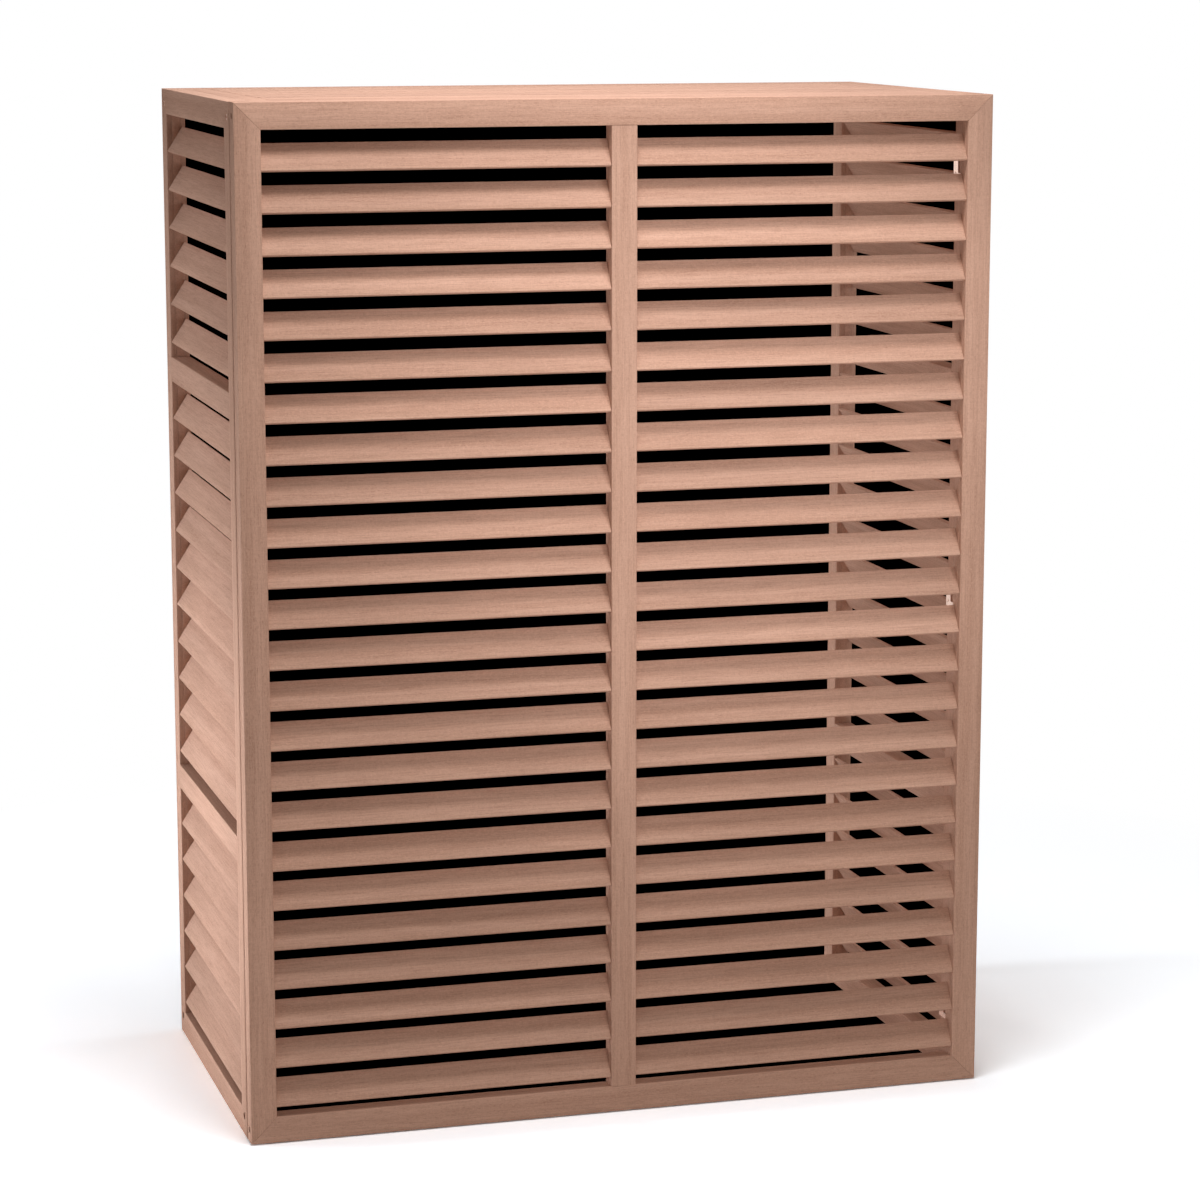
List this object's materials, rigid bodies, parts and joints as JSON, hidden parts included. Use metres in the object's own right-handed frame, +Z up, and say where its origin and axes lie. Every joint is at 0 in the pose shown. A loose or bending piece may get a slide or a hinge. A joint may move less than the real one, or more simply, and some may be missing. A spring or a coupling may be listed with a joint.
{
  "type": "air conditioner screen",
  "caption": "Tall timber screen with louvred front door and sides and a slatted top, open at the back, that hides an outdoor air conditioner.",
  "frame": {"origin": "on the floor, under the middle of the screen's bounding box, hinge barrels included", "axes": "+Z up, -Y towards the door's outer face, +X towards the hinged side"},
  "size_m": [1.135, 0.6, 1.5],
  "materials": {
    "timber": "matte, fine straight grain, pinkish brown",
    "zinc_steel": "bright zinc plating",
    "dark_plastic": "matte moulded"
  },
  "bodies": {
    "screen": {"left_bottom_rail": "timber", "left_front_stile": "timber", "left_front_top_bolt": "zinc_steel", "left_lower_cross_rail": "timber", "left_lower_louvres": "timber", "left_middle_louvres": "timber", "left_rear_stile": "timber", "left_rear_top_bolt": "zinc_steel", "left_top_rail": "timber", "left_upper_cross_rail": "timber", "left_upper_louvres": "timber", "lower_hinge_frame_leaf": "zinc_steel", "lower_hinge_pin": "zinc_steel", "lower_magnetic_catch": "dark_plastic", "middle_hinge_frame_leaf": "zinc_steel", "middle_hinge_pin": "zinc_steel", "right_bottom_rail": "timber", "right_front_stile": "timber", "right_front_top_bolt": "zinc_steel", "right_lower_cross_rail": "timber", "right_lower_louvres": "timber", "right_middle_louvres": "timber", "right_rear_stile": "timber", "right_rear_top_bolt": "zinc_steel", "right_top_rail": "timber", "right_upper_cross_rail": "timber", "right_upper_louvres": "timber", "top_board_1": "timber", "top_board_2": "timber", "top_board_3": "timber", "top_board_4": "timber", "top_board_5": "timber", "top_front_rail": "timber", "top_left_cleat": "timber", "top_left_end": "timber", "top_middle_batten": "timber", "top_rear_rail": "timber", "top_right_cleat": "timber", "top_right_end": "timber", "upper_hinge_frame_leaf": "zinc_steel", "upper_hinge_pin": "zinc_steel", "upper_magnetic_catch": "dark_plastic"},
    "door": {"door_bottom_rail": "timber", "door_left_louvres": "timber", "door_left_stile": "timber", "door_mullion": "timber", "door_right_louvres": "timber", "door_right_stile": "timber", "door_top_rail": "timber", "lower_hinge_door_leaf": "zinc_steel", "lower_left_door_screw": "zinc_steel", "lower_right_door_screw": "zinc_steel", "lower_strike_plate": "zinc_steel", "middle_hinge_door_leaf": "zinc_steel", "upper_hinge_door_leaf": "zinc_steel", "upper_left_door_screw": "zinc_steel", "upper_right_door_screw": "zinc_steel", "upper_strike_plate": "zinc_steel"}
  },
  "joints": [
    {"name": "door_hinge", "type": "hinge", "parent": "screen", "child": "door", "pos_m": [0.563, -0.2685, 0.75], "axis": [0, 0, 1], "range_deg": [0, 180]}
  ]
}
